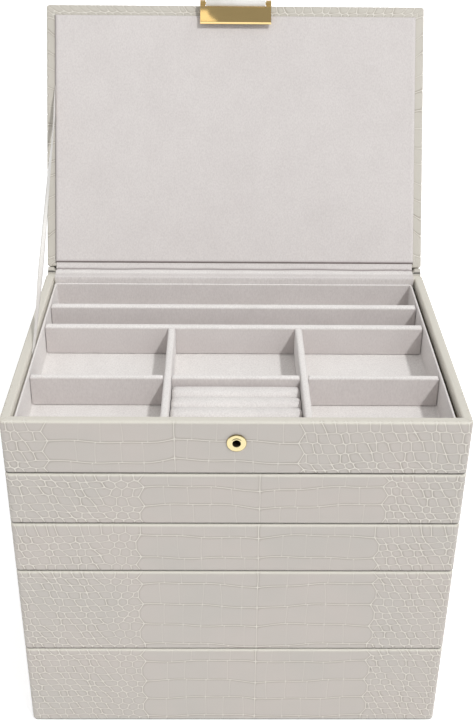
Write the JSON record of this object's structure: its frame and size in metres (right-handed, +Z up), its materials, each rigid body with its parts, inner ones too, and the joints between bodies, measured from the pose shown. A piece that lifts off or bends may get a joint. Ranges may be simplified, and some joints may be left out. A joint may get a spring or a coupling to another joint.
{
  "type": "jewelry box",
  "caption": "Tiered jewelry box of stacking trays with velvet liners, and a padded lid on a soft hinge, held open by a ribbon and shut by a hinged plate that snaps into the front",
  "frame": {"origin": "middle of the underside of the base plinth, which is what the box stands on", "axes": "+Z up, +Y to the back where the lid is hinged, +X to the right seen from the front"},
  "size_m": [0.25, 0.272, 0.3857],
  "materials": {
    "board": "raw grey board",
    "leather": "embossed satin",
    "lid_leather": "embossed satin",
    "velvet": "brushed velvet",
    "plinth_cloth": "matt cloth",
    "gold_metal": "polished gold",
    "ribbon": "satin ribbon"
  },
  "bodies": {
    "base_tray": {"base_tray_carcass": "board", "base_tray_wrap": "leather", "base_tray_plinth": "plinth_cloth", "base_tray_liner": "velvet", "base_tray_divider": "velvet"},
    "lower_tray": {"lower_tray_carcass": "board", "lower_tray_wrap": "leather", "lower_tray_plinth": "plinth_cloth", "lower_tray_liner": "velvet", "lower_tray_column": "velvet", "lower_tray_cross": "velvet"},
    "middle_tray": {"middle_tray_carcass": "board", "middle_tray_wrap": "leather", "middle_tray_plinth": "plinth_cloth", "middle_tray_liner": "velvet", "middle_tray_column_left": "velvet", "middle_tray_column_right": "velvet"},
    "upper_tray": {"upper_tray_carcass": "board", "upper_tray_wrap": "leather", "upper_tray_plinth": "plinth_cloth", "upper_tray_liner": "velvet", "upper_tray_divider": "velvet", "upper_tray_column_left": "velvet", "upper_tray_column_right": "velvet"},
    "top_tray": {"top_tray_carcass": "board", "top_tray_wrap": "leather", "top_tray_plinth": "plinth_cloth", "top_tray_liner": "velvet", "long_divider_rear": "velvet", "long_divider_front": "velvet", "column_divider_left": "velvet", "column_divider_right": "velvet", "cross_divider_left": "velvet", "cross_divider_middle": "velvet", "cross_divider_right": "velvet", "ring_roll_1": "velvet", "ring_roll_2": "velvet", "ring_roll_3": "velvet", "ring_roll_4": "velvet", "snap_socket": "gold_metal", "socket_washer": "gold_metal", "hinge_spine": "lid_leather", "hinge_gusset": "velvet", "lid_stay": "ribbon"},
    "lid": {"lid_board": "board", "lid_wrap": "lid_leather", "lid_pad": "velvet", "clasp_strap": "lid_leather"},
    "clasp_bar": {"clasp_bar": "gold_metal"},
    "clasp_plate": {"clasp_plate": "gold_metal", "clasp_stud": "gold_metal"}
  },
  "joints": [
    {"name": "lower_tray_lift", "type": "slide", "parent": "base_tray", "child": "lower_tray", "axis": [0, 0, 1], "range_m": [0, 0.06]},
    {"name": "middle_tray_lift", "type": "slide", "parent": "lower_tray", "child": "middle_tray", "axis": [0, 0, 1], "range_m": [0, 0.06]},
    {"name": "upper_tray_lift", "type": "slide", "parent": "middle_tray", "child": "upper_tray", "axis": [0, 0, 1], "range_m": [0, 0.06]},
    {"name": "top_tray_lift", "type": "slide", "parent": "upper_tray", "child": "top_tray", "axis": [0, 0, 1], "range_m": [0, 0.06]},
    {"name": "lid_hinge", "type": "hinge", "parent": "top_tray", "child": "lid", "pos_m": [0, 0.0896, 0.2225], "axis": [1, 0, 0], "range_deg": [0, 117.3], "deforming": ["hinge_spine", "hinge_gusset", "lid_stay"]},
    {"name": "clasp_fold", "type": "hinge", "parent": "lid", "child": "clasp_bar", "pos_m": [0, 0.17117, 0.38451], "axis": [1, 0, 0], "range_deg": [-90, 0], "deforming": ["clasp_strap"]},
    {"name": "clasp_swing", "type": "hinge", "parent": "clasp_bar", "child": "clasp_plate", "pos_m": [0, 0.1685, 0.38366], "axis": [-1, 0, 0], "range_deg": [0, 60]}
  ],
  "couplings": [
    {"joint": "clasp_fold", "follows": "lid_hinge", "ratio": -0.7672}
  ]
}
